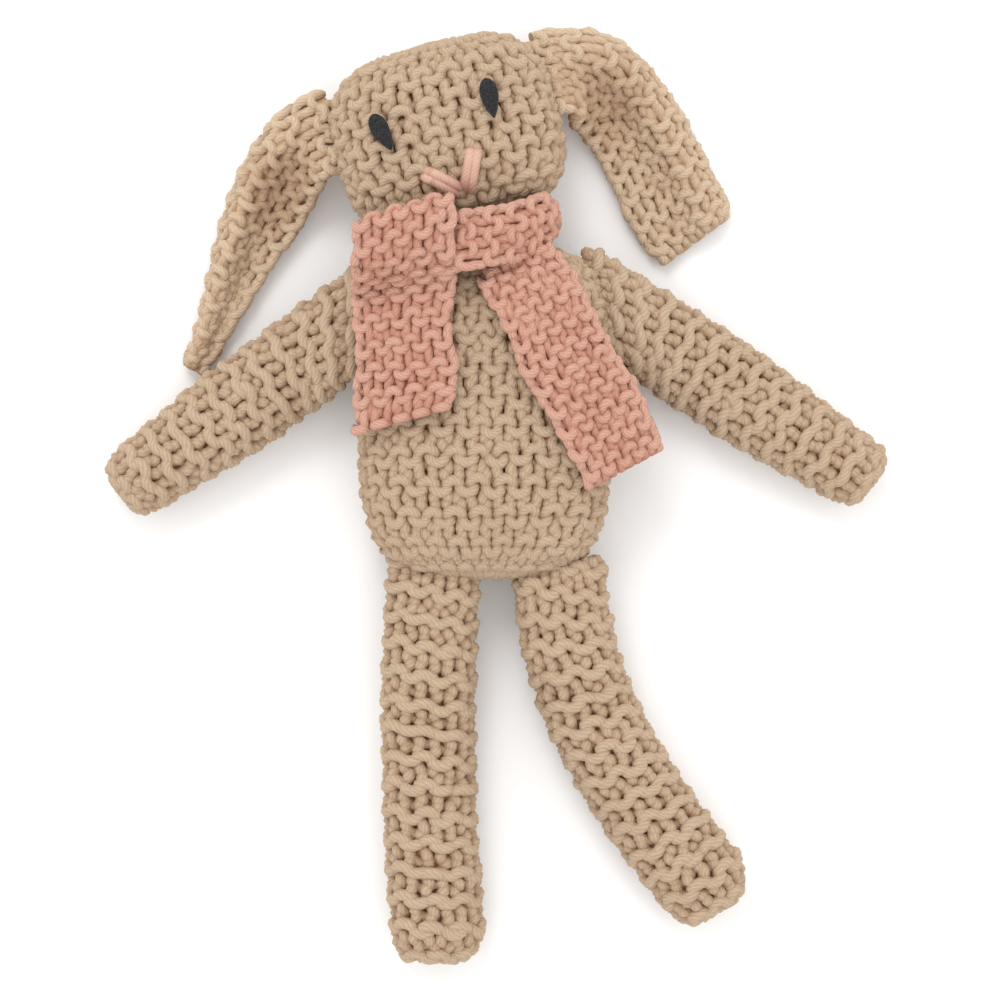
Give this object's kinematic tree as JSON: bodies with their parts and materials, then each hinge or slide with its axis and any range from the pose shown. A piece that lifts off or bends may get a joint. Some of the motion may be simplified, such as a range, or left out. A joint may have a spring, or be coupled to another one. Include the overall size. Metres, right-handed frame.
{
  "type": "stuffed bunny toy",
  "caption": "Hand-knitted garter-stitch bunny with floppy ears, long stuffed arms and legs, felt eyes and a knotted scarf, lying on its back.",
  "frame": {"origin": "middle of the flat patch that the back of the body rests on", "axes": "+Y from the body towards the head, +Z out of the chest, +X towards the toy's left-hand side as seen from above the chest (the viewer's right)"},
  "size_m": [0.2319, 0.285, 0.0508],
  "materials": {
    "oatmeal_knit": "chunky plied wool-blend yarn in garter stitch, fuzzy and matte",
    "seam_yarn": "the same plied yarn, used for sewing up",
    "filling": "white polyester fibrefill",
    "felt": "charcoal wool felt, matte",
    "nose_yarn": "pale pink plied yarn",
    "scarf_knit": "dusty pink plied yarn in garter stitch, matte"
  },
  "bodies": {
    "torso": {"body_front_panel": "oatmeal_knit", "body_back_panel": "oatmeal_knit", "body_side_seam": "seam_yarn", "body_stuffing": "filling", "neck_seam": "seam_yarn", "left_shoulder_stitches": "seam_yarn", "right_shoulder_stitches": "seam_yarn", "left_hip_stitches": "seam_yarn", "right_hip_stitches": "seam_yarn", "scarf_neck_band": "scarf_knit", "scarf_knot": "scarf_knit"},
    "head": {"head_front_panel": "oatmeal_knit", "head_back_panel": "oatmeal_knit", "head_side_seam": "seam_yarn", "head_stuffing": "filling", "left_eye": "felt", "right_eye": "felt", "nose_stitches": "nose_yarn", "left_ear_stitches": "seam_yarn", "right_ear_stitches": "seam_yarn"},
    "left_ear": {"left_ear": "oatmeal_knit"},
    "right_ear": {"right_ear": "oatmeal_knit"},
    "left_arm": {"left_arm_cover": "oatmeal_knit", "left_arm_stuffing": "filling", "left_arm_seam": "seam_yarn"},
    "right_arm": {"right_arm_cover": "oatmeal_knit", "right_arm_stuffing": "filling", "right_arm_seam": "seam_yarn"},
    "left_leg": {"left_leg_cover": "oatmeal_knit", "left_leg_stuffing": "filling", "left_leg_seam": "seam_yarn"},
    "right_leg": {"right_leg_cover": "oatmeal_knit", "right_leg_stuffing": "filling", "right_leg_seam": "seam_yarn"},
    "scarf_left_tail": {"scarf_left_tail": "scarf_knit"},
    "scarf_right_tail": {"scarf_right_tail": "scarf_knit"}
  },
  "joints": [
    {"name": "head_nod", "type": "hinge", "parent": "torso", "child": "head", "pos_m": [-0.004, 0.05295, 0.019], "axis": [1, 0, 0], "range_deg": [0, 8]},
    {"name": "left_ear_lift", "type": "hinge", "parent": "head", "child": "left_ear", "pos_m": [-0.0516, 0.08283, 0.019], "axis": [-0.2588, 0.9659, 0], "range_deg": [0, 90]},
    {"name": "right_ear_lift", "type": "hinge", "parent": "head", "child": "right_ear", "pos_m": [0.02413, 0.10312, 0.019], "axis": [0.2588, -0.9659, 0], "range_deg": [0, 90]},
    {"name": "left_arm_lift", "type": "hinge", "parent": "torso", "child": "left_arm", "pos_m": [-0.0487, 0.0261, 0.018], "axis": [0, 1, 0], "range_deg": [0, 95]},
    {"name": "right_arm_lift", "type": "hinge", "parent": "torso", "child": "right_arm", "pos_m": [0.0487, 0.02955, 0.018], "axis": [0, -1, 0], "range_deg": [0, 95]},
    {"name": "left_leg_fold", "type": "hinge", "parent": "torso", "child": "left_leg", "pos_m": [-0.01578, -0.06045, 0.018], "axis": [-1, 0, 0], "range_deg": [0, 100]},
    {"name": "right_leg_fold", "type": "hinge", "parent": "torso", "child": "right_leg", "pos_m": [0.02272, -0.06045, 0.018], "axis": [-1, 0, 0], "range_deg": [0, 100]},
    {"name": "left_tail_lift", "type": "hinge", "parent": "torso", "child": "scarf_left_tail", "pos_m": [-0.0244, 0.0422, 0.0395], "axis": [-1, 0, 0], "range_deg": [0, 50]},
    {"name": "right_tail_lift", "type": "hinge", "parent": "torso", "child": "scarf_right_tail", "pos_m": [0.0102, 0.0392, 0.0395], "axis": [-0.891, -0.454, 0], "range_deg": [0, 50]}
  ]
}
